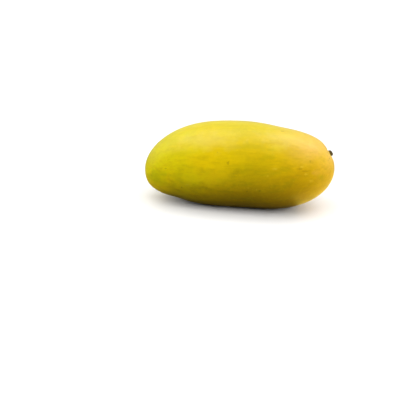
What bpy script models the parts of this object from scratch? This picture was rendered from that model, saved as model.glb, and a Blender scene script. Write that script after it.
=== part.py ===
"""A whole mango of a long, slim kind with the woody stub of its stem, lying on its lower cheek.

Metres, +Z up. The fruit is shaped in its own frame: +X runs to the stem end and -X to the beak,
+Z is its back and -Z its belly, and its two flatter cheeks face +Y and -Y. The empty mango_lie
then lays it down: the back leans to +Y, the stem end is raised until the weight is over the small
flat spot, and the spot comes to Z = 0. The bottom centre of the whole part's box is the origin.
"""
import math

import bmesh
import bpy
import numpy as np
from mathutils import Matrix, Vector

# The fruit's body
HALF_LENGTH = 0.0749
HALF_DEPTH = 0.03465         # centre line to back and to belly, on the widest ring
HALF_WIDTH = 0.0312          # centre line to each cheek, on the widest ring
WIDEST_AT = 0.0065           # X of the widest ring, a little nearer to the stem end
BEAK_FULLNESS = 2.29         # exponent of the outline from the widest ring to the beak, 2 = ellipse
STEM_FULLNESS = 2.31         # the same towards the stem end
CENTRE_LINE = (-0.0068, -0.00254, 0.00704)   # rise of the centre line: slope, arch and S-bend terms
CHEEK_SQUARENESS = 0.006

# Low swells of the skin: height, lobes round the section, half waves along the fruit, and their turns
WIDE_SWELL = dict(height=0.00035, lobes=2.0, lobe_turn=0.6, half_waves=2.2, wave_turn=0.4)
SMALL_SWELL = dict(height=0.00025, lobes=3.0, lobe_turn=-1.1, half_waves=1.4, wave_turn=1.9)

# Places where the skin is pressed in: (X, Z) of the spot, the way it faces, depth, reaches
PRESS_REACH_IN = 0.020
BACK_FLAT = dict(at=(0.0324, 0.0290), facing=(0.20, 0.98), depth=0.00148, along=0.016, across=0.022)
BEAK_HOLLOW = dict(at=(-0.0504, -0.0253), facing=(-0.42, -0.90), depth=0.0008, along=0.009, across=0.022)
STEM_SHOULDER = dict(at=(0.0712, 0.0088), facing=(0.86, 0.50), depth=0.0018, along=0.008, across=0.018)
STEM_BASIN = dict(at=(0.0720, 0.0074), facing=(0.94, 0.34), depth=0.0009, along=0.0045, across=0.0045)

# How it lies
LEAN_BACK = math.radians(22.0)       # turn about X, back towards +Y
STEM_END_UP = math.radians(5.2)      # turn about Y
FLAT_SPOT_DEPTH = 0.0005             # how much of the skin is flattened under the weight

# The stem stub, along its own axis from the skin at height 0
ROOT_DEPTH = 0.0026
STUB_HEIGHT = 0.0032
ROOT_RADIUS = 0.0021
FOOT_RADIUS = 0.0027
NECK_RADIUS = 0.00185
KNUCKLE_RADIUS = 0.0024
KNUCKLE_AT = 0.0019
FOOT_FADE = 0.0010           # height over which the flared foot narrows to the neck
KNUCKLE_FADE = 0.0010
END_SQUARENESS = 3.6         # exponent of the cap at both ends, higher is flatter
END_SLANT = 0.15             # rise of the broken end across its width
STUB_BEND = 12.0             # sideways lean is this times the height squared
LOBE_HEIGHT = 0.07           # share of the radius
PIT_GAP = 0.00035
PIT_MOUTH = 0.0020           # how far the pit's cutter reaches above the skin

# Finish
SKIN_COLOUR = (0.70, 0.52, 0.012)
SKIN_ROUGHNESS = 0.42
STEM_COLOUR = (0.085, 0.062, 0.028)
STEM_ROUGHNESS = 0.75

# Mesh fineness
FRUIT_SEGMENTS = 72
FRUIT_RINGS = 52
STUB_SEGMENTS = 28
STUB_RINGS = 24
PIT_SEGMENTS = 32
RIDGE_SEARCH = (0.05, 0.9, 400)      # stretch of the back, from the stem end, where the stem is looked for
ON_THE_CUT = 0.000001                # points this near the flat spot's plane lie in it


def clear_scene():
    for old in list(bpy.data.objects):
        bpy.data.objects.remove(old, do_unlink=True)
    for old in list(bpy.data.collections):
        bpy.data.collections.remove(old)


def new_collection(name):
    collection = bpy.data.collections.new(name)
    bpy.context.scene.collection.children.link(collection)
    return collection


def make_material(name, colour, roughness):
    material = bpy.data.materials.new(name)
    material.use_nodes = True
    shader = material.node_tree.nodes["Principled BSDF"]
    shader.inputs["Base Color"].default_value = (*colour, 1.0)
    shader.inputs["Roughness"].default_value = roughness
    shader.inputs["Metallic"].default_value = 0.0
    material.diffuse_color = (*colour, 1.0)
    return material


def bell(distance):
    return np.exp(-distance ** 2)


def facing_axes(facing):
    """Unit vectors in the fruit's plane Y = 0: the way a spot faces, and along the skin there."""
    out = np.array([facing[0], 0.0, facing[1]])
    out = out / np.linalg.norm(out)
    side = np.array([-out[2], 0.0, out[0]])
    return out, side


def press(points, at, facing, depth, along, across):
    """Pushes the skin in around one spot, by a bell-shaped dent that fades with distance."""
    out, side = facing_axes(facing)
    offset = points - np.array([at[0], 0.0, at[1]])
    dent = bell(offset @ side / along) * bell(offset[:, 1] / across) * bell(offset @ out / PRESS_REACH_IN)
    return points - np.outer(depth * dent, out)


def swell(c, around, height, lobes, lobe_turn, half_waves, wave_turn):
    """A cosine round the section times one along the fruit, with c from 1 at the stem end to -1."""
    return height * np.cos(lobes * around + lobe_turn) * np.cos(half_waves * math.pi * c + wave_turn)


def skin(along, around):
    """Points of the skin in the fruit's frame.

    along is 0 at the stem end and pi at the beak. The outline is two superellipses that meet on
    the widest ring, their centre line rises by a cubic, and every section is an oval with slightly
    squared cheeks and low swells. around is 0 on the +Y cheek and pi / 2 on the back.
    """
    c = np.cos(along)
    fullness = np.where(c > 0, STEM_FULLNESS, BEAK_FULLNESS)
    reach = np.where(c > 0, HALF_LENGTH - WIDEST_AT, HALF_LENGTH + WIDEST_AT)
    girth = np.clip(1.0 - np.abs(c) ** fullness, 0.0, 1.0) ** (1.0 / fullness)
    slope, arch, bend = CENTRE_LINE
    rise = slope * c + arch * c ** 2 + bend * c ** 3
    square = 1.0 - CHEEK_SQUARENESS * np.cos(4.0 * around)
    swells = swell(c, around, **WIDE_SWELL) + swell(c, around, **SMALL_SWELL)
    x = WIDEST_AT + c * reach
    y = girth * (HALF_WIDTH * square + swells) * np.cos(around)
    z = rise + girth * (HALF_DEPTH * square + swells) * np.sin(around)
    points = np.column_stack([x, y, z])
    for spot in (BACK_FLAT, BEAK_HOLLOW, STEM_SHOULDER, STEM_BASIN):
        points = press(points, **spot)
    return points


def stem_seat():
    """Frame of the stem: origin where its axis meets the skin, +Z outwards along the axis."""
    out, side = facing_axes(STEM_BASIN["facing"])
    x, z = STEM_BASIN["at"]
    along = np.linspace(*RIDGE_SEARCH)
    ridge = skin(along, np.full_like(along, math.pi / 2))
    distance = (ridge - np.array([x, 0.0, z])) @ side
    seat = Vector((np.interp(0.0, distance, ridge[:, 0]), 0.0, np.interp(0.0, distance, ridge[:, 2])))
    turn = Vector((0.0, 0.0, 1.0)).rotation_difference(Vector(out))
    return Matrix.Translation(seat) @ turn.to_matrix().to_4x4()


def stub_surface(down, around):
    """Points of the stem stub in its own frame, down from 0 at the broken end to pi at the root.

    The radius is the neck's, with a bell-shaped swell at the foot and one at the knuckle. Below
    the skin it tapers to the root. Both ends are capped by a high superellipse, the upper one
    slanted, with low lobes round the foot and the knuckle, and the stub leans with height.
    """
    c = np.cos(down)
    height = (STUB_HEIGHT - ROOT_DEPTH) / 2 + c * (STUB_HEIGHT + ROOT_DEPTH) / 2
    above = np.clip(height, 0.0, None)
    below = np.clip(-height, 0.0, None)
    radius = NECK_RADIUS + (FOOT_RADIUS - NECK_RADIUS) * bell(above / FOOT_FADE)
    radius = radius + (KNUCKLE_RADIUS - NECK_RADIUS) * bell((height - KNUCKLE_AT) / KNUCKLE_FADE)
    radius = radius - (FOOT_RADIUS - ROOT_RADIUS) * below / ROOT_DEPTH
    grown = np.clip(above / FOOT_FADE, 0.0, 1.0)
    lobes = 0.6 * np.cos(5.0 * around + 0.7) + 0.4 * np.cos(3.0 * around - 0.9)
    radius = radius * (1.0 + LOBE_HEIGHT * grown * lobes)
    radius = radius * np.clip(1.0 - np.abs(c) ** END_SQUARENESS, 0.0, 1.0) ** (1.0 / END_SQUARENESS)
    x = radius * np.cos(around)
    y = radius * np.sin(around)
    tip = np.clip(above / STUB_HEIGHT, 0.0, 1.0) ** 2
    z = height + END_SLANT * tip * x
    return np.column_stack([x + STUB_BEND * above ** 2, y, z])


def shaped_sphere(name, surface, segments, rings, material, collection):
    """A UV sphere whose points are moved on to surface(angle from the pole, angle round the axis)."""
    bm = bmesh.new()
    bmesh.ops.create_uvsphere(bm, u_segments=segments, v_segments=rings, radius=1.0)
    unit = np.array([vert.co for vert in bm.verts])
    from_pole = np.arccos(np.clip(unit[:, 2], -1.0, 1.0))
    around = np.arctan2(unit[:, 1], unit[:, 0])
    for vert, point in zip(bm.verts, surface(from_pole, around)):
        vert.co = point
    bmesh.ops.recalc_face_normals(bm, faces=bm.faces)
    mesh = bpy.data.meshes.new(name)
    bm.to_mesh(mesh)
    bm.free()
    mesh.shade_smooth()
    mesh.materials.append(material)
    part = bpy.data.objects.new(name, mesh)
    collection.objects.link(part)
    return part


def make_fruit(collection):
    material = make_material("mango_skin", SKIN_COLOUR, SKIN_ROUGHNESS)
    return shaped_sphere("mango_fruit", skin, FRUIT_SEGMENTS, FRUIT_RINGS, material, collection)


def make_stub(collection, seat):
    material = make_material("stem_wood", STEM_COLOUR, STEM_ROUGHNESS)
    stub = shaped_sphere("stem_stub", stub_surface, STUB_SEGMENTS, STUB_RINGS, material, collection)
    stub.matrix_local = seat
    return stub


def make_pit_cutter(collection, seat):
    """Cone that leaves the stem's root its gap all round and goes on widening above the skin."""
    taper = (FOOT_RADIUS - ROOT_RADIUS) / ROOT_DEPTH
    depth = ROOT_DEPTH + PIT_GAP
    mesh = bpy.data.meshes.new("stem_pit_cutter")
    bm = bmesh.new()
    bmesh.ops.create_cone(
        bm,
        cap_ends=True,
        segments=PIT_SEGMENTS,
        radius1=FOOT_RADIUS + PIT_GAP - taper * depth,
        radius2=FOOT_RADIUS + PIT_GAP + taper * PIT_MOUTH,
        depth=depth + PIT_MOUTH,
        matrix=Matrix.Translation((0.0, 0.0, (PIT_MOUTH - depth) / 2)),
    )
    bm.to_mesh(mesh)
    bm.free()
    cutter = bpy.data.objects.new("stem_pit_cutter", mesh)
    collection.objects.link(cutter)
    cutter.matrix_local = seat
    cutter.hide_render = True
    cutter.display_type = "WIRE"
    return cutter


def cut_stem_pit(fruit, cutter):
    pit = fruit.modifiers.new("stem_pit", "BOOLEAN")
    pit.operation = "DIFFERENCE"
    pit.solver = "EXACT"
    pit.object = cutter


def laid_down(fruit, stub):
    """Placement of the fruit's frame: turned as it lies, flat spot at Z = 0, box centred on X and Y."""
    turn = Matrix.Rotation(-STEM_END_UP, 4, "Y") @ Matrix.Rotation(-LEAN_BACK, 4, "X")
    turned_fruit = [turn @ vert.co for vert in fruit.data.vertices]
    turned_stub = [turn @ stub.matrix_local @ vert.co for vert in stub.data.vertices]
    corners = np.array(turned_fruit + turned_stub)
    middle = (corners.min(axis=0) + corners.max(axis=0)) / 2
    floor = min(point.z for point in turned_fruit) + FLAT_SPOT_DEPTH
    return Matrix.Translation((-middle[0], -middle[1], -floor)) @ turn


def flatten_spot(fruit, placement):
    """Cuts the fruit off level at world Z = 0 and closes the cut, the small flat that it rests on."""
    to_fruit = placement.inverted()
    bm = bmesh.new()
    bm.from_mesh(fruit.data)
    cut = bmesh.ops.bisect_plane(
        bm,
        geom=list(bm.verts) + list(bm.edges) + list(bm.faces),
        dist=ON_THE_CUT,
        plane_co=to_fruit.translation,
        plane_no=to_fruit.to_3x3() @ Vector((0.0, 0.0, -1.0)),
        clear_outer=True,
    )
    rim = [item for item in cut["geom_cut"] if isinstance(item, bmesh.types.BMEdge)]
    bmesh.ops.contextual_create(bm, geom=rim)
    bmesh.ops.recalc_face_normals(bm, faces=bm.faces)
    bm.to_mesh(fruit.data)
    bm.free()


def build_mango():
    clear_scene()
    parts = new_collection("mango")
    cutters = new_collection("mango_cutters")
    seat = stem_seat()
    fruit = make_fruit(parts)
    stub = make_stub(parts, seat)
    cutter = make_pit_cutter(cutters, seat)
    cut_stem_pit(fruit, cutter)
    placement = laid_down(fruit, stub)
    flatten_spot(fruit, placement)
    lie = bpy.data.objects.new("mango_lie", None)
    parts.objects.link(lie)
    lie.matrix_world = placement
    for child in (fruit, stub, cutter):
        child.parent = lie


build_mango()
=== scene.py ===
import math

import bpy
import numpy as np
from mathutils import Matrix, Vector


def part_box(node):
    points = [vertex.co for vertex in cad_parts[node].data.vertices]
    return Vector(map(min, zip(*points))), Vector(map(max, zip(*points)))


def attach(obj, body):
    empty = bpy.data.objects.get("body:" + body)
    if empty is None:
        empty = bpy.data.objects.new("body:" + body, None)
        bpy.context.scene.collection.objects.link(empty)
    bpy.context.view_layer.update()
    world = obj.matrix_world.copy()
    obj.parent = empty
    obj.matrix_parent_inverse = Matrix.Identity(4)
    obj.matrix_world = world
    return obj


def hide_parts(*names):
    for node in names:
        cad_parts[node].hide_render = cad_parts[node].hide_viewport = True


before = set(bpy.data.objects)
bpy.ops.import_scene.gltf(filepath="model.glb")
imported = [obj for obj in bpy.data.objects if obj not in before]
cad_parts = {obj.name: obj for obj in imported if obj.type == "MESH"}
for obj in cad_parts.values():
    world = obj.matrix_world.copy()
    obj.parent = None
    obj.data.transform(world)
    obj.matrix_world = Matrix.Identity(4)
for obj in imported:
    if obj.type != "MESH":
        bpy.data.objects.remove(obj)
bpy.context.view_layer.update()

# A whole mango with its stem stub. Shapes are worked out in the fruit's own frame, in half lengths
# of the fruit: +X to the stem end, -X to the beak, +Z the back, -Z the belly, the cheeks at +Y and
# -Y. Both pieces are then laid down and sized to the box of the fruit's node in the frame.

# The fruit's body
HALF_DEPTH = 0.4626          # centre line to back and to belly, on the widest ring
HALF_WIDTH = 0.4166          # centre line to each cheek, on the widest ring
WIDEST_AT = 0.0868           # X of the widest ring, a little nearer to the stem end
BEAK_FULLNESS = 2.29         # exponent of the outline from the widest ring to the beak, 2 = ellipse
STEM_FULLNESS = 2.31         # the same towards the stem end
CENTRE_LINE = (-0.0908, -0.0339, 0.0940)   # rise of the centre line: slope, arch and S-bend terms
CHEEK_SQUARENESS = 0.006

# Low swells of the skin: height, lobes round the section, half waves along each half of the fruit,
# and the turns of both
WIDE_SWELL = dict(height=0.00467, lobes=2.0, lobe_turn=0.6, half_waves=2.2, wave_turn=0.4)
SMALL_SWELL = dict(height=0.00334, lobes=3.0, lobe_turn=-1.1, half_waves=1.4, wave_turn=1.9)

# Places where the skin is pressed in: (X, Z) of the spot, the way it faces, depth, reaches
PRESS_REACH_IN = 0.267
BACK_FLAT = dict(at=(0.4326, 0.3872), facing=(0.20, 0.98), depth=0.01976, along=0.2136, across=0.2937)
BEAK_HOLLOW = dict(at=(-0.6729, -0.3378), facing=(-0.42, -0.90), depth=0.01068, along=0.1202, across=0.2937)
STEM_SHOULDER = dict(at=(0.9506, 0.1175), facing=(0.86, 0.50), depth=0.02403, along=0.1068, across=0.2403)
STEM_BASIN = dict(at=(0.9613, 0.0988), facing=(0.94, 0.34), depth=0.01202, along=0.0601, across=0.0601)

# How it lies: the back leans to +Y, then the stem end is raised
LEAN_BACK = math.radians(22.0)
STEM_END_UP = math.radians(5.2)
LIE = Matrix.Rotation(-STEM_END_UP, 3, "Y") @ Matrix.Rotation(-LEAN_BACK, 3, "X")
FLAT_SPOT_DEPTH = 0.0067     # how much of the skin is flattened under the weight

# The stem stub, along its own axis from the skin at height 0
ROOT_DEPTH = 0.0347
STUB_HEIGHT = 0.0427
ROOT_RADIUS = 0.0280
FOOT_RADIUS = 0.0360
NECK_RADIUS = 0.0247
KNUCKLE_RADIUS = 0.0320
KNUCKLE_AT = 0.0254
FOOT_FADE = 0.0134           # height over which the flared foot narrows to the neck
KNUCKLE_FADE = 0.0134
END_SQUARENESS = 3.6         # exponent of the cap at both ends, higher is flatter
END_SLANT = 0.15             # rise of the broken end across its width
STUB_BEND = 0.90             # sideways lean is this times the height squared
LOBE_HEIGHT = 0.07           # share of the radius

# Ripples round the stub: height, number round it, change with a second parameter, and turn. Lobes
# are shares of LOBE_HEIGHT. Ribs are shares of the radius and change with the height. Fibres stand
# on the broken end and change with the distance from its middle.
STUB_LOBES = [(0.6, 5.0, 0.0, 0.7), (0.4, 3.0, 0.0, -0.9)]
STUB_RIBS = [(0.022, 17.0, 40.0, 0.0), (0.014, 29.0, -65.0, 1.1)]
END_FIBRES = [(0.0011, 11.0, 14.0, 0.0), (0.0009, 23.0, -21.0, 0.0)]
RING_HEIGHT = 0.020          # share of the radius
RING_PITCH = 0.0105
RING_SWAY = 1.6              # radians by which a ring wanders up and down
END_DISH = 0.0045            # depth of the dish in the broken end
END_STARTS = 0.90            # the end's dish and fibres begin at this cosine of down

# Fine relief of the skin: height, length across the fruit, stretch along it, seed of its draws
BROAD_RELIEF = dict(height=0.0011, wave=0.42, stretch=2.2, seed=3)
SMALL_RELIEF = dict(height=0.00035, wave=0.11, stretch=2.6, seed=8)
RELIEF_SINES = 28
RELIEF_LENGTHS = (0.7, 1.5)  # shortest and longest sine, as shares of wave

# Folds of the skin round the stem, the low collar at its foot, and the dip under the foot
FOLD_HEIGHT = 0.0020
FOLD_COUNT = 9
FOLD_SWAY = 1.3              # radians by which the folds stray from even spacing
FOLD_REACH = 0.085
COLLAR_HEIGHT = 0.0040
COLLAR_WIDTH = 0.011
DIP_DEPTH = 0.5 * ROOT_DEPTH
STEM_SIDE = -2.0 * FOOT_RADIUS   # only skin above this height on the stem's axis is round the stem

# Mesh fineness, and grids that are only searched: start, end and number of steps
SKIN_RINGS = 300
SKIN_COLUMNS = 320
STUB_RINGS = 150
STUB_COLUMNS = 180
BOX_STEPS = 241
RIDGE_SEARCH = (0.05, 0.9, 400)
CHEEK_ALONG = (0.02, 3.12, 700)
CHEEK_ACROSS = (-math.pi / 2, math.pi / 2, 400)
POLES = (np.array([0.0, math.pi]), np.array([0.0, 0.0]))   # both parameters at a surface's two ends
SMALLEST_LENGTH = 1e-12      # least length that a normal is divided by

# Camera, in the photograph's frame
PICTURE = 400                # pixels along each side
FRUIT_PIXEL = (239.86, 163.53)   # where the middle of the fruit's box is, from the top left
PIXELS_PER_METRE = 1264.0    # at the middle of the fruit
CAMERA_DISTANCE = 0.90
CAMERA_ELEVATION = math.radians(22.0)
CAMERA_ROLL = math.radians(3.57)
SENSOR = 36.0                # millimetres

# Studio, in metres: what the camera sees of the floor, which fades to white over the haze's reach,
# and what the floor throws back as light. The room is a light too, by the Y of the direction: dim in
# front, where the camera stands, and a pale backdrop behind.
FLOOR_SIZE = 30.0
FLOOR_ROUGHNESS = 0.9
FLOOR_SEEN = 0.93
FLOOR_BOUNCE = (0.105, 0.095, 0.035, 1.0)
HAZE_REACH = dict(start=0.5, end=2.0)
HAZE_LIGHT = 1.0
BACKDROP_BY_Y = dict(start=-0.40, end=0.20, least=0.05, most=0.56)

# Softboxes, aimed at the fruit: name, place, width, depth, watts, and what they reach. A matt one
# falls on the skin and isn't mirrored in it, a gloss one is only mirrored, and "both" is a plain one.
LIGHT_AIM = (0.0, 0.0, 0.03)
WHITE = (1.0, 1.0, 1.0)
SOFTBOXES = [
    ("softbox_front", (-0.10, -1.00, 1.25), 2.4, 1.5, 22.6, "matt"),
    ("softbox_above_left", (-0.55, 0.08, 1.10), 1.0, 1.1, 4.0, "both"),
    ("softbox_above_right", (0.62, 0.28, 1.10), 1.0, 1.1, 4.9, "both"),
    ("softbox_left", (-1.30, -0.20, 0.60), 0.9, 0.9, 5.2, "matt"),
    ("softbox_right", (1.30, -0.20, 0.35), 0.9, 0.7, 7.2, "matt"),
    ("softbox_back", (0.10, 1.40, 0.45), 1.6, 0.8, 6.0, "matt"),
]

# Straw-coloured cards on the floor, partly under the fruit's ends and partly beyond them, for the
# warm light from below: name, X, Y, width, depth, watts, and what they reach
CARD_HEIGHT = 0.001
CARD_COLOUR = (1.0, 0.84, 0.15)
FLOOR_CARDS = [
    ("card_right", 0.105, -0.030, 0.09, 0.14, 0.048, "matt"),
    ("card_under_end", 0.085, 0.015, 0.07, 0.11, 0.035, "gloss"),
    ("card_left", -0.110, -0.030, 0.09, 0.14, 0.034, "matt"),
]


def srgb(red, green, blue):
    """Linear colour of an 8-bit sRGB one."""
    share = np.array([red, green, blue]) / 255.0
    linear = np.where(share <= 0.04045, share / 12.92, ((share + 0.055) / 1.055) ** 2.4)
    return (*linear.tolist(), 1.0)


def grey(value):
    return (value, value, value, 1.0)


# The skin's colour along the fruit, by X. The paleness at the stem end is partly painted highlight.
SKIN_ALONG_FRUIT = [
    (-1.00, srgb(214, 208, 6)),
    (-0.56, srgb(224, 206, 2)),
    (-0.28, srgb(233, 202, 0)),
    (0.05, srgb(220, 191, 0)),
    (0.50, srgb(219, 182, 2)),
    (0.75, srgb(227, 184, 14)),
    (1.00, srgb(240, 192, 62)),
]

# Colours of clouds and marks
OLIVE = srgb(176, 158, 0)
LIME = srgb(180, 172, 0)
GOLD = srgb(190, 138, 0)
YELLOW = srgb(248, 214, 0)
DEEP_YELLOW = srgb(240, 208, 0)
PALE = srgb(236, 214, 70)
BROWN = srgb(150, 108, 4)
RUST = srgb(150, 84, 14)
DARK = srgb(104, 88, 0)

# Tints that fade in by one or two of the fruit's axes, from start to end, up to most. The back's and the
# belly's tints are partly painted shade.
SKIN_TINTS_AND_PAINTED_SHADE = {
    # The back's darker lime is partly painted shade, which tones down the top where the lights above and
    # behind fall strongest.
    "back": dict(by_z=dict(start=0.10, end=0.44, most=0.55), colour=srgb(202, 194, 14)),
    # The belly's olive is partly the skin's own colour and partly painted shade, darkening the underside.
    "belly": dict(by_z=dict(start=-0.02, end=-0.42, most=0.60), colour=srgb(148, 108, 0)),
    "belly towards the beak": dict(
        by_x=dict(start=0.0, end=-0.85, most=0.60),
        by_z=dict(start=0.02, end=-0.36),
        colour=srgb(200, 190, 0),
    ),
}

# Patterns of the skin, in the order in which they are laid on: the noise of each, stretched along
# the fruit, and how strong it is, as one share or by the fruit's axes
STREAKS_BY_Z = dict(start=-0.10, end=0.24, least=0.26, most=0.12)
SKIN_PATTERNS = {
    "clouds": dict(
        noise=dict(Stretch=(0.55, 1.0, 1.0), Scale=4.2, Detail=3.0, Low=0.42, High=0.72),
        share=0.22,
        colour=OLIVE,
    ),
    "glow": dict(
        noise=dict(Stretch=(0.50, 1.0, 1.0), Scale=7.0, Detail=3.0, Low=0.46, High=0.72),
        share=0.22,
        colour=srgb(244, 206, 0),
    ),
    # Pale blush of the stem end: partly the skin's own blush, partly painted highlight.
    "blush and painted highlight of the stem end": dict(
        noise=dict(Stretch=(0.80, 1.0, 1.0), Scale=2.6, Detail=3.0, Low=0.30, High=0.76),
        by_x=dict(start=0.30, end=0.90, most=0.70),
        by_z=dict(start=-0.12, end=0.12),
        colour=srgb(244, 194, 100),
    ),
    "streaks": dict(
        noise=dict(Stretch=(0.10, 1.0, 1.0), Scale=22.0, Detail=4.0, Low=0.44, High=0.75),
        by_z=STREAKS_BY_Z,
        colour=srgb(182, 142, 0),
    ),
    "moss-coloured mottle": dict(
        noise=dict(Stretch=(0.35, 1.0, 1.0), Scale=15.0, Detail=4.0, Low=0.46, High=0.70),
        by_x=dict(start=0.90, end=0.45),
        by_z=dict(start=0.10, end=-0.20, least=0.08, most=0.40),
        colour=srgb(150, 142, 0),
    ),
    "threads": dict(
        noise=dict(Stretch=(0.14, 1.0, 1.0), Scale=52.0, Detail=3.0, Low=0.42, High=0.70),
        by_z=STREAKS_BY_Z,
        colour=srgb(186, 148, 0),
    ),
    "grain": dict(
        noise=dict(Stretch=(0.80, 1.0, 1.0), Scale=34.0, Detail=4.0, Low=0.46, High=0.70),
        share=0.14,
        colour=srgb(246, 216, 20),
    ),
}

# Pale pores, and dark dots, of which there are more on the far cheek, by Y. The rise is what each
# adds to the height of the skin's bump.
PORES = dict(
    specks=dict(Scale=26.0, Size=0.10, Softness=0.06, Share=0.60),
    share=0.30,
    colour=srgb(240, 224, 70),
    rise=0.5,
)
DOTS = dict(
    specks=dict(Scale=13.0, Size=0.045, Softness=0.03),
    share=0.45,
    colour=srgb(110, 94, 10),
    rise=-0.8,
)
DOTS_BY_Y = dict(start=-0.10, end=0.30, least=0.14, most=0.42)

# Soft clouds and small marks on a cheek: X and Z on the skin, radius, stretch along X and Z, share,
# colour. A stretch above 1 makes the spot narrower. The near cheek faces the camera, and its spots
# are placed as the photograph shows them. The far cheek's are of the same kinds. The two pale clouds high
# on the near cheek are painted highlights.
NEAR = "near"
FAR = "far"
CLOUD_EDGE = dict(Core=0.05, Grain=14.0)
CLOUDS_AND_PAINTED_HIGHLIGHTS = {
    NEAR: [
        (0.200, -0.060, 0.330, (0.8, 1.5), 0.19, OLIVE),
        (0.030, -0.060, 0.110, (0.6, 1.4), 0.26, LIME),
        (-0.250, -0.130, 0.240, (0.7, 1.3), 0.50, srgb(238, 208, 6)),
        # Painted highlights: the next two pale clouds stand for two patches of shine high on the cheek.
        (-0.300, 0.230, 0.280, (0.6, 2.0), 0.24, srgb(236, 216, 112)),
        (0.500, 0.260, 0.280, (0.7, 1.7), 0.21, srgb(232, 216, 120)),
        (0.370, 0.145, 0.110, (0.7, 1.5), 0.34, srgb(244, 224, 60)),
        (-0.400, 0.010, 0.140, (0.6, 1.5), 0.34, YELLOW),
        (-0.030, 0.015, 0.140, (0.6, 1.6), 0.36, YELLOW),
        (-0.870, -0.130, 0.150, (0.8, 1.1), 0.44, srgb(152, 166, 0)),
        (-0.510, -0.145, 0.190, (0.6, 1.2), 0.42, srgb(226, 214, 6)),
        (-0.500, 0.150, 0.140, (0.7, 1.4), 0.36, srgb(242, 224, 24)),
        (-0.440, 0.085, 0.080, (0.5, 2.0), 0.26, DEEP_YELLOW),
        (-0.410, -0.055, 0.060, (0.8, 1.2), 0.34, DEEP_YELLOW),
        (0.245, 0.040, 0.075, (0.8, 1.5), 0.34, OLIVE),
        (0.318, 0.128, 0.060, (0.6, 2.0), 0.30, OLIVE),
        (0.140, 0.160, 0.120, (0.5, 2.0), 0.34, OLIVE),
        (-0.600, 0.115, 0.100, (0.5, 2.0), 0.24, OLIVE),
        (0.324, 0.050, 0.055, (0.9, 1.4), 0.26, OLIVE),
        (0.660, -0.110, 0.130, (0.7, 1.2), 0.26, GOLD),
        (0.843, -0.160, 0.060, (0.8, 1.2), 0.40, OLIVE),
        (0.775, -0.112, 0.070, (0.8, 1.4), 0.34, srgb(240, 190, 80)),
    ],
    FAR: [
        (-0.220, 0.080, 0.300, (0.8, 1.6), 0.34, LIME),
        (0.380, -0.090, 0.240, (0.7, 1.5), 0.32, OLIVE),
        (-0.560, -0.060, 0.140, (0.7, 1.4), 0.30, OLIVE),
        (0.060, -0.170, 0.110, (0.8, 1.3), 0.30, GOLD),
        (0.640, 0.120, 0.120, (0.8, 1.3), 0.26, GOLD),
    ],
}
MARK_EDGE = dict(Core=0.30, Grain=60.0)
MARKS = {
    NEAR: [
        (-0.762, -0.033, 0.015, (0.7, 1.6), 0.36, DARK),
        (-0.606, -0.234, 0.015, (1.0, 1.0), 0.40, DARK),
        (-0.545, -0.210, 0.034, (0.7, 3.0), 0.26, PALE),
        (-0.118, 0.002, 0.020, (1.1, 0.8), 0.42, BROWN),
        (-0.038, -0.092, 0.044, (0.7, 1.0), 0.22, srgb(140, 122, 0)),
        (0.453, 0.327, 0.020, (0.7, 1.4), 0.40, srgb(150, 126, 20)),
        (0.618, -0.072, 0.026, (0.6, 1.6), 0.34, BROWN),
        (0.672, -0.098, 0.028, (0.5, 2.2), 0.26, BROWN),
        (0.640, -0.052, 0.020, (0.8, 1.4), 0.36, PALE),
        (0.681, -0.128, 0.022, (0.8, 1.4), 0.34, PALE),
        (0.723, 0.004, 0.018, (1.0, 1.0), 0.30, BROWN),
        (0.733, -0.200, 0.030, (0.9, 1.2), 0.26, PALE),
        (0.069, -0.290, 0.015, (1.0, 1.0), 0.36, DARK),
        (0.199, -0.288, 0.017, (1.0, 1.0), 0.34, DARK),
        (0.282, -0.141, 0.018, (1.0, 1.0), 0.34, PALE),
        (0.360, -0.067, 0.026, (0.7, 1.4), 0.34, PALE),
        (0.087, -0.254, 0.016, (1.0, 1.0), 0.30, PALE),
        (0.166, -0.274, 0.016, (1.0, 1.0), 0.30, PALE),
        (0.936, 0.036, 0.012, (1.0, 1.0), 0.55, RUST),
        (0.920, 0.014, 0.010, (1.0, 1.0), 0.45, RUST),
    ],
    FAR: [
        (-0.640, 0.110, 0.020, (0.8, 1.2), 0.50, DARK),
        (-0.410, -0.150, 0.026, (0.6, 1.4), 0.45, BROWN),
        (-0.372, -0.176, 0.018, (0.7, 1.3), 0.40, BROWN),
        (-0.080, 0.190, 0.018, (1.0, 1.0), 0.50, DARK),
        (0.130, 0.040, 0.036, (0.5, 1.6), 0.34, BROWN),
        (0.165, 0.022, 0.022, (0.6, 1.4), 0.36, PALE),
        (0.300, -0.230, 0.016, (1.0, 1.0), 0.50, DARK),
        (0.520, 0.150, 0.020, (0.9, 1.1), 0.42, DARK),
        (0.700, -0.060, 0.030, (0.6, 1.5), 0.40, BROWN),
        (0.900, 0.060, 0.013, (1.0, 1.0), 0.50, RUST),
    ],
}

# Brown ring of skin round the stem
STEM_RING = dict(Radius=0.085, Core=0.4, Grain=60.0)
STEM_RING_SHARE = 0.55
STEM_RING_COLOUR = srgb(150, 112, 40)

# Finish of the skin: waxy and satin, rougher in the clouds, with a fine peel. Subsurface light goes
# so many metres deep for red, green and blue.
SKIN_ROUGHNESS = dict(least=0.36, most=0.46)
PEEL_NOISE = dict(Scale=70.0, Detail=3.0)
SKIN_BUMP = dict(Strength=0.10, Distance=0.0004)
SKIN_FINISH = {
    "IOR": 1.45,
    "Specular IOR Level": 0.62,
    "Sheen Weight": 0.08,
    "Sheen Roughness": 0.35,
    "Sheen Tint": srgb(255, 244, 214),
    "Subsurface Weight": 0.10,
    "Subsurface Radius": (0.004, 0.0026, 0.0004),
    "Subsurface Scale": 1.0,
}

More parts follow.
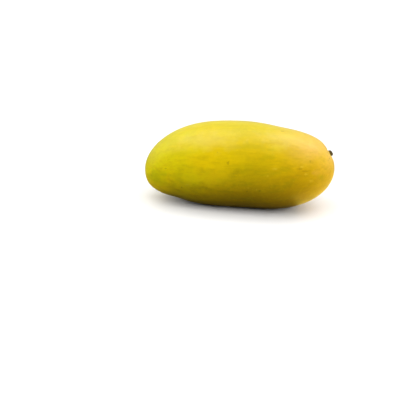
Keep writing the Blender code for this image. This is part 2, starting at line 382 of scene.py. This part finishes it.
# Wood of the stem: fibres, grey dust, and a foot that is tan near the skin
STEM_FIBRES = dict(Stretch=(1.0, 1.0, 1.0), Scale=120.0, Detail=5.0, Low=0.35, High=0.68)
STEM_DARK = srgb(52, 42, 22)
STEM_LIGHT = srgb(121, 104, 62)
STEM_DUST = dict(Stretch=(1.0, 1.0, 1.0), Scale=45.0, Detail=3.0, Low=0.50, High=0.75)
STEM_DUST_SHARE = 0.5
STEM_DUST_COLOUR = srgb(120, 116, 92)
STEM_FOOT_BY_HEIGHT = dict(start=0.004, end=0.019, least=0.75, most=0.0)
STEM_FOOT_COLOUR = srgb(150, 128, 52)
STEM_ROUGHNESS = dict(least=0.85, most=0.62)
STEM_BUMP = dict(Strength=0.5, Distance=0.0003)

# Noise of the shared groups
MOTTLE_ROUGHNESS = 0.55
SPECK_SIZES = dict(least=0.45, most=1.25)       # smallest and largest speck, as shares of Size
MARK_DETAIL = 2.0
MARK_RAGGED = dict(start=0.3, end=0.7, least=0.7, most=1.4)


def bell(distance):
    return np.exp(-distance ** 2)


def facing_axes(facing):
    """Unit vectors in the plane Y = 0: the way a spot faces, and along the skin there."""
    out = np.array([facing[0], 0.0, facing[1]])
    out = out / np.linalg.norm(out)
    side = np.array([-out[2], 0.0, out[0]])
    return out, side


def press(points, at, facing, depth, along, across):
    """Moves points inwards by depth times a bell of their distance from the spot, in three reaches."""
    out, side = facing_axes(facing)
    offset = points - np.array([at[0], 0.0, at[1]])
    dent = bell(offset @ side / along) * bell(offset[..., 1] / across)
    dent = dent * bell(offset @ out / PRESS_REACH_IN)
    return points - depth * dent[..., None] * out


def swell(c, around, height, lobes, lobe_turn, half_waves, wave_turn):
    """A cosine round the section times one along the fruit, with c from 1 at the stem end to -1."""
    return height * np.cos(lobes * around + lobe_turn) * np.cos(half_waves * math.pi * c + wave_turn)


def plain_skin(along, around):
    """The fruit's main form, along 0 at the stem end to pi at the beak, around pi / 2 on the back.

    x is the cosine of along, stretched to each end from the widest ring. The girth is a
    superellipse of that cosine, the centre line is a cubic of it, and the section is an oval with
    squared cheeks and two low swells. Four bell-shaped dents then press the skin in.
    """
    c = np.cos(along)
    fullness = np.where(c > 0, STEM_FULLNESS, BEAK_FULLNESS)
    reach = np.where(c > 0, 1.0 - WIDEST_AT, 1.0 + WIDEST_AT)
    girth = np.clip(1.0 - np.abs(c) ** fullness, 0.0, 1.0) ** (1.0 / fullness)
    slope, arch, bend = CENTRE_LINE
    rise = slope * c + arch * c ** 2 + bend * c ** 3
    square = 1.0 - CHEEK_SQUARENESS * np.cos(4.0 * around)
    swells = swell(c, around, **WIDE_SWELL) + swell(c, around, **SMALL_SWELL)
    x = WIDEST_AT + c * reach
    y = girth * (HALF_WIDTH * square + swells) * np.cos(around)
    z = rise + girth * (HALF_DEPTH * square + swells) * np.sin(around)
    points = np.stack([x, y, z], axis=-1)
    for spot in (BACK_FLAT, BEAK_HOLLOW, STEM_SHOULDER, STEM_BASIN):
        points = press(points, **spot)
    return points


def stem_seat():
    """Origin of the stem on the skin, and its axes as columns: two across it and one outwards."""
    out, side = facing_axes(STEM_BASIN["facing"])
    along = np.linspace(*RIDGE_SEARCH)
    ridge = plain_skin(along, np.full_like(along, math.pi / 2))
    x, z = STEM_BASIN["at"]
    distance = (ridge - np.array([x, 0.0, z])) @ side
    seat = np.array([np.interp(0.0, distance, ridge[:, 0]), 0.0, np.interp(0.0, distance, ridge[:, 2])])
    return seat, np.column_stack([-side, np.array([0.0, 1.0, 0.0]), out])


def unevenness(points, height, wave, stretch, seed):
    """Smooth unevenness of the skin: the sum of many sines in random directions.

    wave is about their mean length across the fruit, and along it they are longer by stretch. The
    sum is divided by the root of half their number, so that its root mean square is the height.
    """
    rng = np.random.default_rng(seed)
    directions = rng.normal(size=(RELIEF_SINES, 3))
    directions = directions / np.linalg.norm(directions, axis=1)[:, None]
    directions[:, 0] = directions[:, 0] / stretch
    lengths = wave * rng.uniform(*RELIEF_LENGTHS, RELIEF_SINES)
    phases = rng.uniform(0.0, 2.0 * math.pi, RELIEF_SINES)
    angles = points @ (directions * (2.0 * math.pi / lengths)[:, None]).T + phases
    return height * np.sin(angles).sum(axis=-1) / math.sqrt(RELIEF_SINES / 2.0)


def outward(points):
    """Unit normals of a closed grid of points, from the differences along its rows and columns."""
    across = np.roll(points, -1, axis=1) - np.roll(points, 1, axis=1)
    down = np.gradient(points, axis=0)
    normal = np.cross(across, down)
    length = np.linalg.norm(normal, axis=-1, keepdims=True)
    return normal / np.maximum(length, SMALLEST_LENGTH)


def fine_skin(along, around):
    """plain_skin with its relief along the normal.

    The broad and small unevenness calms down towards the stem. Round the stem, the folds are a
    cosine of the bearing that fades away from the foot, the collar is a bell just outside the foot,
    and under the foot the skin dips as a cone, out of the stub's way.
    """
    points = plain_skin(along, around)
    normal = outward(points)
    seat, axes = stem_seat()
    local = (points - seat) @ axes
    from_axis = np.hypot(local[..., 0], local[..., 1])
    bearing = np.arctan2(local[..., 1], local[..., 0])
    at_stem = local[..., 2] > STEM_SIDE
    calm = 1.0 - bell(from_axis / FOLD_REACH) * at_stem
    relief = calm * (unevenness(points, **BROAD_RELIEF) + unevenness(points, **SMALL_RELIEF))
    folds = np.cos(FOLD_COUNT * bearing + FOLD_SWAY * np.sin(2.0 * bearing))
    folds = folds * bell((from_axis - FOOT_RADIUS) / FOLD_REACH) * (from_axis > FOOT_RADIUS)
    collar = bell((from_axis - FOOT_RADIUS - COLLAR_WIDTH) / COLLAR_WIDTH)
    dip = np.clip(1.0 - from_axis / FOOT_RADIUS, 0.0, 1.0)
    relief = relief + at_stem * (FOLD_HEIGHT * folds + COLLAR_HEIGHT * collar - DIP_DEPTH * dip)
    return points + normal * relief[..., None]


def lie_down(points):
    return points @ np.array(LIE).T


class Placement:
    """Size and place of the fruit's frame in the room, worked out from the fruit node's box.

    The laid-down fruit is scaled until it is as long as the box, centred on it in X and Y, and
    lowered until the flat spot is on the box's floor.
    """

    def __init__(self, node):
        low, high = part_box(node)
        along, around = np.meshgrid(
            np.linspace(0.0, math.pi, BOX_STEPS),
            np.linspace(0.0, 2.0 * math.pi, BOX_STEPS),
        )
        raw = lie_down(plain_skin(along, around)).reshape(-1, 3)
        raw_low = raw.min(axis=0)
        raw_high = raw.max(axis=0)
        self.scale = (high.x - low.x) / (raw_high[0] - raw_low[0])
        middle = (raw_low + raw_high) / 2.0 * self.scale
        self.shift = np.array([
            (low.x + high.x) / 2.0 - middle[0],
            (low.y + high.y) / 2.0 - middle[1],
            low.z - (raw_low[2] + FLAT_SPOT_DEPTH) * self.scale,
        ])
        self.floor = low.z

    def __call__(self, points):
        return lie_down(points) * self.scale + self.shift


def ripples(around, second, rows):
    """Sum of cosines round an axis, each turned by a second parameter."""
    total = 0.0
    for height, number, change, turn in rows:
        total = total + height * np.cos(number * around + change * second + turn)
    return total


def stub_radius(height, around):
    """Radius of the stem stub: neck, swells at the foot and the knuckle, taper to the root, lobes."""
    above = np.clip(height, 0.0, None)
    below = np.clip(-height, 0.0, None)
    radius = NECK_RADIUS + (FOOT_RADIUS - NECK_RADIUS) * bell(above / FOOT_FADE)
    radius = radius + (KNUCKLE_RADIUS - NECK_RADIUS) * bell((height - KNUCKLE_AT) / KNUCKLE_FADE)
    radius = radius - (FOOT_RADIUS - ROOT_RADIUS) * below / ROOT_DEPTH
    grown = np.clip(above / FOOT_FADE, 0.0, 1.0)
    return radius * (1.0 + LOBE_HEIGHT * grown * ripples(around, 0.0, STUB_LOBES))


def stub_surface(down, around):
    """The stem stub in its own frame, down 0 at the broken end to pi at the root.

    The radius of stub_radius is capped by a high superellipse at both ends. Above the skin, fine
    ribs that twist a little run up the side, and rings cross them. The broken end is slanted and
    dished by a parabola, with torn fibres as short waves.
    """
    c = np.cos(down)
    height = (STUB_HEIGHT - ROOT_DEPTH) / 2 + c * (STUB_HEIGHT + ROOT_DEPTH) / 2
    cap = np.clip(1.0 - np.abs(c) ** END_SQUARENESS, 0.0, 1.0) ** (1.0 / END_SQUARENESS)
    rings = np.cos(height * 2.0 * math.pi / RING_PITCH + RING_SWAY * np.cos(2.0 * around))
    relief = ripples(around, height, STUB_RIBS) + RING_HEIGHT * rings
    on_side = np.clip(height / FOOT_FADE, 0.0, 1.0)
    radius = stub_radius(height, around) * (1.0 + on_side * relief) * cap
    x = radius * np.cos(around)
    y = radius * np.sin(around)
    above = np.clip(height, 0.0, None)
    tip = np.clip(above / STUB_HEIGHT, 0.0, 1.0) ** 2
    spread = np.clip(radius / KNUCKLE_RADIUS, 0.0, 1.0)
    end = np.clip((c - END_STARTS) / (1.0 - END_STARTS), 0.0, 1.0)
    torn = ripples(around, spread, END_FIBRES) * spread - END_DISH * (1.0 - spread ** 2)
    z = height + END_SLANT * tip * x + end * torn
    return np.stack([x + STUB_BEND * above ** 2, y, z], axis=-1)


def between_poles(rings, columns):
    """Both parameters of a closed surface on a grid: from pole to pole, without the poles, and round."""
    return np.meshgrid(
        np.linspace(0.0, math.pi, rings + 1)[1:-1],
        np.linspace(0.0, 2.0 * math.pi, columns, endpoint=False),
        indexing="ij",
    )


def grid_faces(rows, columns):
    """Quads of a grid that closes round its columns, as an array of four point numbers a face."""
    row, column = np.meshgrid(np.arange(rows - 1), np.arange(columns), indexing="ij")
    here = row * columns + column
    beside = row * columns + (column + 1) % columns
    return np.stack([here, beside, beside + columns, here + columns], axis=-1).reshape(-1, 4)


def face_outwards(mesh):
    """Flips the mesh if its faces point inwards, told by the sign of its volume."""
    mesh.calc_loop_triangles()
    corners = np.zeros(len(mesh.loop_triangles) * 3, int)
    mesh.loop_triangles.foreach_get("vertices", corners)
    points = np.zeros(len(mesh.vertices) * 3)
    mesh.vertices.foreach_get("co", points)
    a, b, c = points.reshape(-1, 3)[corners.reshape(-1, 3)].transpose(1, 0, 2)
    if (a * np.cross(b, c)).sum() < 0.0:
        mesh.flip_normals()


def closed_surface(name, grid, top, bottom):
    """Piece from a grid of rings that is closed by one point at each end, facing outwards."""
    rows, columns = grid.shape[:2]
    ring = np.arange(columns)
    after = (ring + 1) % columns
    last = (rows - 1) * columns
    top_number = rows * columns
    points = np.vstack([grid.reshape(-1, 3), top, bottom])
    quads = grid_faces(rows, columns)
    caps = np.vstack([
        np.column_stack([np.full(columns, top_number), after, ring]),
        np.column_stack([np.full(columns, top_number + 1), last + ring, last + after]),
    ])
    mesh = bpy.data.meshes.new(name)
    mesh.from_pydata(points.tolist(), [], quads.tolist() + caps.tolist())
    mesh.validate()
    mesh.shade_smooth()
    face_outwards(mesh)
    piece = bpy.data.objects.new(name, mesh)
    bpy.context.scene.collection.objects.link(piece)
    return piece


def make_fruit(place):
    """The fruit's fine skin, pressed flat where it would pass through the floor."""
    grid = place(fine_skin(*between_poles(SKIN_RINGS, SKIN_COLUMNS)))
    grid[..., 2] = np.maximum(grid[..., 2], place.floor)
    return closed_surface("mango_skin", grid, *place(plain_skin(*POLES)))


def make_stub(place):
    """The stem stub, turned on to its seat in the fruit's basin."""
    seat, axes = stem_seat()
    grid = stub_surface(*between_poles(STUB_RINGS, STUB_COLUMNS)) @ axes.T + seat
    ends = stub_surface(*POLES) @ axes.T + seat
    return closed_surface("stem_stub_fine", place(grid), *place(ends))


def add(tree, kind, inputs=None, **settings):
    """Adds one node. inputs holds values, or sockets to link, by the input's name or number."""
    made = tree.nodes.new(kind)
    for name, value in settings.items():
        setattr(made, name, value)
    for name, value in (inputs or {}).items():
        if isinstance(value, bpy.types.NodeSocket):
            tree.links.new(value, made.inputs[name])
        else:
            made.inputs[name].default_value = value
    return made


def maths(tree, operation, first, second=0.0, third=0.0):
    return add(tree, "ShaderNodeMath", {0: first, 1: second, 2: third}, operation=operation).outputs[0]


def vector_maths(tree, operation, first, second=(0.0, 0.0, 0.0)):
    return add(tree, "ShaderNodeVectorMath", {0: first, 1: second}, operation=operation).outputs


def fade(tree, value, start=0.0, end=1.0, least=0.0, most=1.0):
    """Smooth step of a value from least at start to most at end."""
    inputs = {"Value": value, "From Min": start, "From Max": end, "To Min": least, "To Max": most}
    return add(tree, "ShaderNodeMapRange", inputs, interpolation_type="SMOOTHSTEP").outputs[0]


def tint(tree, share, under, over):
    """Colour under, with colour over laid on it by a share."""
    return add(tree, "ShaderNodeMix", {0: share, 6: under, 7: over}, data_type="RGBA").outputs[2]


def masked_tint(tree, mask, share, under, over):
    """Colour under, with colour over laid on it where a mask is, by a share."""
    return tint(tree, maths(tree, "MULTIPLY", mask, share), under, over)


def mask_group(name, **inputs):
    """New shader node group whose inputs start at the given numbers and vectors, and whose only
    output is a mask. Gives the group, its inputs and its output."""
    group = bpy.data.node_groups.new(name, "ShaderNodeTree")
    for socket, value in inputs.items():
        kind = "NodeSocketFloat" if isinstance(value, float) else "NodeSocketVector"
        made = group.interface.new_socket(socket, in_out="INPUT", socket_type=kind)
        made.default_value = value
    group.interface.new_socket("Mask", in_out="OUTPUT", socket_type="NodeSocketFloat")
    given = group.nodes.new("NodeGroupInput").outputs
    return group, given, group.nodes.new("NodeGroupOutput").inputs["Mask"]


def mottle_group():
    """Cloudy mask: fractal noise on a stretched position, smoothly cut between Low and High."""
    group, given, out = mask_group(
        "mottle",
        Vector=(0.0, 0.0, 0.0),
        Stretch=(1.0, 1.0, 1.0),
        Scale=4.0,
        Detail=3.0,
        Low=0.4,
        High=0.7,
    )
    inputs = {
        "Vector": vector_maths(group, "MULTIPLY", given["Vector"], given["Stretch"])[0],
        "Scale": given["Scale"],
        "Detail": given["Detail"],
        "Roughness": MOTTLE_ROUGHNESS,
    }
    noise = add(group, "ShaderNodeTexNoise", inputs).outputs[0]
    group.links.new(fade(group, noise, given["Low"], given["High"]), out)
    return group


def speck_group():
    """Mask of small round specks: distance to scattered points, kept where a random draw allows."""
    group, given, out = mask_group(
        "specks",
        Vector=(0.0, 0.0, 0.0),
        Scale=20.0,
        Size=0.15,
        Softness=0.08,
        Share=0.5,
    )
    cells = add(group, "ShaderNodeTexVoronoi", {"Vector": given["Vector"], "Scale": given["Scale"]})
    draw = add(group, "ShaderNodeSeparateColor", {"Color": cells.outputs["Color"]})
    kept = maths(group, "LESS_THAN", draw.outputs[0], given["Share"])
    size = maths(group, "MULTIPLY", given["Size"], fade(group, draw.outputs[1], **SPECK_SIZES))
    outer = maths(group, "ADD", size, given["Softness"])
    inner = maths(group, "SUBTRACT", size, given["Softness"])
    spot = fade(group, cells.outputs["Distance"], outer, inner)
    group.links.new(maths(group, "MULTIPLY", spot, kept), out)
    return group


def mark_group():
    """Mask of one mark on the skin: distance from its centre, roughened by noise of scale Grain, and
    faded from its radius to Core times its radius."""
    group, given, out = mask_group(
        "mark",
        Vector=(0.0, 0.0, 0.0),
        Centre=(0.0, 0.0, 0.0),
        Stretch=(1.0, 1.0, 1.0),
        Radius=0.01,
        Core=0.4,
        Grain=60.0,
    )
    offset = vector_maths(group, "SUBTRACT", given["Vector"], given["Centre"])[0]
    shaped = vector_maths(group, "MULTIPLY", offset, given["Stretch"])[0]
    distance = vector_maths(group, "LENGTH", shaped)["Value"]
    noise = {"Vector": given["Vector"], "Scale": given["Grain"], "Detail": MARK_DETAIL}
    rough = add(group, "ShaderNodeTexNoise", noise).outputs[0]
    ragged = maths(group, "MULTIPLY", distance, fade(group, rough, **MARK_RAGGED))
    inner = maths(group, "MULTIPLY", given["Radius"], given["Core"])
    group.links.new(fade(group, ragged, given["Radius"], inner), out)
    return group


MOTTLE = mottle_group()
SPECKS = speck_group()
MARK = mark_group()


def use(tree, group, **inputs):
    """Places a shared group in a material, and gives the socket of its only output."""
    return add(tree, "ShaderNodeGroup", inputs, node_tree=group).outputs[0]


def new_material(name):
    material = bpy.data.materials.new(name)
    material.use_nodes = True
    tree = material.node_tree
    return material, tree, tree.nodes["Principled BSDF"]


def fruit_position(tree, place):
    """Object position turned back into the fruit's own frame, in half lengths."""
    inputs = {
        "Vector": add(tree, "ShaderNodeTexCoord").outputs["Object"],
        "Location": place.shift.tolist(),
        "Rotation": LIE.to_euler(),
        "Scale": (place.scale, place.scale, place.scale),
    }
    return add(tree, "ShaderNodeMapping", inputs, vector_type="TEXTURE").outputs[0]


def strength(tree, axis, layer):
    """Strength of a tint or a pattern: its share, which is 1 if left out, times its fades by X and Z."""
    share = layer.get("share", 1.0)
    for along, by in ((axis[0], "by_x"), (axis[2], "by_z")):
        if by in layer:
            share = maths(tree, "MULTIPLY", share, fade(tree, along, **layer[by]))
    return share


def skin_ground(tree, axis):
    """The skin's plain colour: a ramp from X = -1 to 1, and the tints of its back and belly, which are
    partly painted shade.
    """
    ramp = add(tree, "ShaderNodeValToRGB", {0: maths(tree, "MULTIPLY_ADD", axis[0], 0.5, 0.5)})
    stops = ramp.color_ramp.elements
    while len(stops) < len(SKIN_ALONG_FRUIT):
        stops.new(0.5)
    for stop, (x, shade) in zip(stops, SKIN_ALONG_FRUIT):
        stop.position = (x + 1.0) / 2.0
        stop.color = shade
    colour = ramp.outputs[0]
    for layer in SKIN_TINTS_AND_PAINTED_SHADE.values():
        colour = tint(tree, strength(tree, axis, layer), colour, layer["colour"])
    return colour


def skin_patterns(tree, colour, position, axis):
    """Lays the patterns on the skin. Gives its colour, and the mask of each pattern by name."""
    masks = {}
    for name, layer in SKIN_PATTERNS.items():
        masks[name] = use(tree, MOTTLE, Vector=position, **layer["noise"])
        colour = masked_tint(tree, masks[name], strength(tree, axis, layer), colour, layer["colour"])
    return colour, masks


def cheek_points(side):
    """Fine grid of points on one cheek, from belly to back and nearly from end to end."""
    along, across = np.meshgrid(np.linspace(*CHEEK_ALONG), np.linspace(*CHEEK_ACROSS))
    return plain_skin(along, across if side == FAR else math.pi - across).reshape(-1, 3)


def nearest_point(points, x, z):
    gap = (points[:, 0] - x) ** 2 + (points[:, 2] - z) ** 2
    return points[gap.argmin()].tolist()


def skin_spots(tree, colour, position):
    """Lays the clouds, two of which are painted highlights, and then the marks of both cheeks on the skin,
    one by one.
    """
    cheeks = {side: cheek_points(side) for side in (NEAR, FAR)}
    for edge, spots in ((CLOUD_EDGE, CLOUDS_AND_PAINTED_HIGHLIGHTS), (MARK_EDGE, MARKS)):
        for side, points in cheeks.items():
            for x, z, radius, (stretch_x, stretch_z), share, shade in spots[side]:
                inputs = dict(
                    Vector=position,
                    Centre=nearest_point(points, x, z),
                    Stretch=(stretch_x, 1.0, stretch_z),
                    Radius=radius,
                )
                mask = use(tree, MARK, **inputs, **edge)
                colour = masked_tint(tree, mask, share, colour, shade)
    return colour


def skin_material(place):
    """Waxy mango skin: yellow, limier to the beak, golden to the stem, olive on the belly, with the
    patterns, pale pores, dark dots, the clouds and marks of both cheeks, and a brown ring round the
    stem. The olive of the belly and the darker back are partly painted shade. The stem end's paleness
    and blush are partly painted highlight, and two pale clouds on the near cheek are painted highlights."""
    material, tree, shader = new_material("mango_skin")
    position = fruit_position(tree, place)
    axis = add(tree, "ShaderNodeSeparateXYZ", {0: position}).outputs
    colour = skin_ground(tree, axis)
    colour, masks = skin_patterns(tree, colour, position, axis)
    pores = use(tree, SPECKS, Vector=position, **PORES["specks"])
    colour = masked_tint(tree, pores, PORES["share"], colour, PORES["colour"])
    dots = use(tree, SPECKS, Vector=position, Share=fade(tree, axis[1], **DOTS_BY_Y), **DOTS["specks"])
    colour = masked_tint(tree, dots, DOTS["share"], colour, DOTS["colour"])
    colour = skin_spots(tree, colour, position)
    seat, _ = stem_seat()
    ring = use(tree, MARK, Vector=position, Centre=seat.tolist(), **STEM_RING)
    colour = masked_tint(tree, ring, STEM_RING_SHARE, colour, STEM_RING_COLOUR)
    tree.links.new(colour, shader.inputs["Base Color"])

    tree.links.new(fade(tree, masks["clouds"], **SKIN_ROUGHNESS), shader.inputs["Roughness"])
    peel = add(tree, "ShaderNodeTexNoise", {"Vector": position, **PEEL_NOISE}).outputs[0]
    height = maths(tree, "MULTIPLY_ADD", pores, PORES["rise"], peel)
    height = maths(tree, "MULTIPLY_ADD", dots, DOTS["rise"], height)
    bump = add(tree, "ShaderNodeBump", {**SKIN_BUMP, "Height": height})
    tree.links.new(bump.outputs[0], shader.inputs["Normal"])
    for name, value in SKIN_FINISH.items():
        shader.inputs[name].default_value = value
    return material


def stem_material(place):
    """Dry brown stem wood: dark and light fibres, grey dust, and a tan foot near the skin."""
    material, tree, shader = new_material("stem_wood")
    position = fruit_position(tree, place)
    fibres = use(tree, MOTTLE, Vector=position, **STEM_FIBRES)
    colour = tint(tree, fibres, STEM_DARK, STEM_LIGHT)
    dust = use(tree, MOTTLE, Vector=position, **STEM_DUST)
    colour = masked_tint(tree, dust, STEM_DUST_SHARE, colour, STEM_DUST_COLOUR)
    seat, axes = stem_seat()
    from_seat = vector_maths(tree, "SUBTRACT", position, seat.tolist())[0]
    height = vector_maths(tree, "DOT_PRODUCT", from_seat, axes[:, 2].tolist())["Value"]
    colour = tint(tree, fade(tree, height, **STEM_FOOT_BY_HEIGHT), colour, STEM_FOOT_COLOUR)
    tree.links.new(colour, shader.inputs["Base Color"])

    tree.links.new(fade(tree, fibres, **STEM_ROUGHNESS), shader.inputs["Roughness"])
    bump = add(tree, "ShaderNodeBump", {**STEM_BUMP, "Height": fibres})
    tree.links.new(bump.outputs[0], shader.inputs["Normal"])
    return material


def make_floor():
    """Large pale floor. The camera sees it near white, and white far off, by a haze that glows only
    for the camera. What it throws back on the fruit is dim and warm."""
    bpy.ops.mesh.primitive_plane_add(size=FLOOR_SIZE)
    floor = bpy.context.object
    floor.name = "floor"
    material, tree, shader = new_material("pale_floor")
    shader.inputs["Roughness"].default_value = FLOOR_ROUGHNESS
    shader.inputs["Specular IOR Level"].default_value = 0.0
    seen = add(tree, "ShaderNodeLightPath").outputs["Is Camera Ray"]
    tree.links.new(tint(tree, seen, FLOOR_BOUNCE, grey(FLOOR_SEEN)), shader.inputs["Base Color"])
    position = add(tree, "ShaderNodeTexCoord").outputs["Object"]
    away = vector_maths(tree, "LENGTH", position)["Value"]
    haze = maths(tree, "MULTIPLY", seen, fade(tree, away, **HAZE_REACH))
    tree.links.new(tint(tree, haze, grey(0.0), grey(1.0)), shader.inputs["Emission Color"])
    shader.inputs["Emission Strength"].default_value = HAZE_LIGHT
    floor.data.materials.append(material)


def make_world():
    """White to the camera. As a light it is a pale backdrop that turns round both ends of the fruit
    to a dim front, where the camera stands."""
    world = bpy.data.worlds.new("studio")
    bpy.context.scene.world = world
    world.use_nodes = True
    tree = world.node_tree
    looking = add(tree, "ShaderNodeTexCoord").outputs["Generated"]
    direction = add(tree, "ShaderNodeSeparateXYZ", {0: looking}).outputs
    backdrop = fade(tree, direction[1], **BACKDROP_BY_Y)
    backdrop = add(tree, "ShaderNodeCombineColor", {0: backdrop, 1: backdrop, 2: backdrop}).outputs[0]
    seen = add(tree, "ShaderNodeLightPath").outputs["Is Camera Ray"]
    shown = tint(tree, seen, backdrop, grey(1.0))
    tree.links.new(shown, tree.nodes["Background"].inputs["Color"])


def area_light(name, place, aim, width, depth, power, reaches, colour):
    """One rectangular light, which the camera doesn't see. A matt one is also left out of multiple
    importance sampling, through which the skin would still mirror it."""
    data = bpy.data.lights.new(name, "AREA")
    data.color = colour
    data.shape = "RECTANGLE"
    data.size = width
    data.size_y = depth
    data.energy = power
    data.cycles.use_multiple_importance_sampling = reaches != "matt"
    light = bpy.data.objects.new(name, data)
    light.location = place
    light.rotation_euler = (Vector(aim) - Vector(place)).to_track_quat("-Z", "Y").to_euler()
    light.visible_camera = False
    light.visible_diffuse = reaches != "gloss"
    light.visible_glossy = reaches != "matt"
    bpy.context.scene.collection.objects.link(light)


def make_lights():
    """Two softboxes overhead, which the skin mirrors as two pale patches, matt ones in front, at both
    ends and behind, and the cards on the floor, which face straight up."""
    for name, place, width, depth, power, reaches in SOFTBOXES:
        area_light(name, place, LIGHT_AIM, width, depth, power, reaches, WHITE)
    for name, x, y, width, depth, power, reaches in FLOOR_CARDS:
        area_light(name, (x, y, CARD_HEIGHT), (x, y, 1.0), width, depth, power, reaches, CARD_COLOUR)


def make_camera():
    """Camera at the photograph's angle, rolled a little, with the fruit at its place in the picture."""
    low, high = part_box("mango_fruit")
    middle = (low + high) / 2.0
    forward = Vector((0.0, math.cos(CAMERA_ELEVATION), -math.sin(CAMERA_ELEVATION)))
    level = Vector((1.0, 0.0, 0.0))
    upright = level.cross(forward)
    right = level * math.cos(CAMERA_ROLL) + upright * math.sin(CAMERA_ROLL)
    up = upright * math.cos(CAMERA_ROLL) - level * math.sin(CAMERA_ROLL)
    to_right = (FRUIT_PIXEL[0] - PICTURE / 2) / PIXELS_PER_METRE
    to_top = (PICTURE / 2 - FRUIT_PIXEL[1]) / PIXELS_PER_METRE
    data = bpy.data.cameras.new("camera")
    data.sensor_width = SENSOR
    data.lens = SENSOR * PIXELS_PER_METRE * CAMERA_DISTANCE / PICTURE
    camera = bpy.data.objects.new("camera", data)
    place = middle - forward * CAMERA_DISTANCE - right * to_right - up * to_top
    turn = Matrix((right, up, -forward)).transposed().to_4x4()
    camera.matrix_world = Matrix.Translation(place) @ turn
    bpy.context.scene.collection.objects.link(camera)
    bpy.context.scene.camera = camera


def dress():
    """Makes both pieces with their materials, hangs them on the root body, and hides the parts of the nodes
    they stand for.
    """
    place = Placement("mango_fruit")
    fruit = make_fruit(place)
    fruit.data.materials.append(skin_material(place))
    stub = make_stub(place)
    stub.data.materials.append(stem_material(place))
    for piece, node, slot in ((fruit, "mango_fruit", "skin"), (stub, "stem_stub", "stem")):
        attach(piece, "root")
        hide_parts(node)


make_camera()
dress()
make_floor()
make_world()
make_lights()
bpy.context.scene.view_settings.view_transform = "Standard"
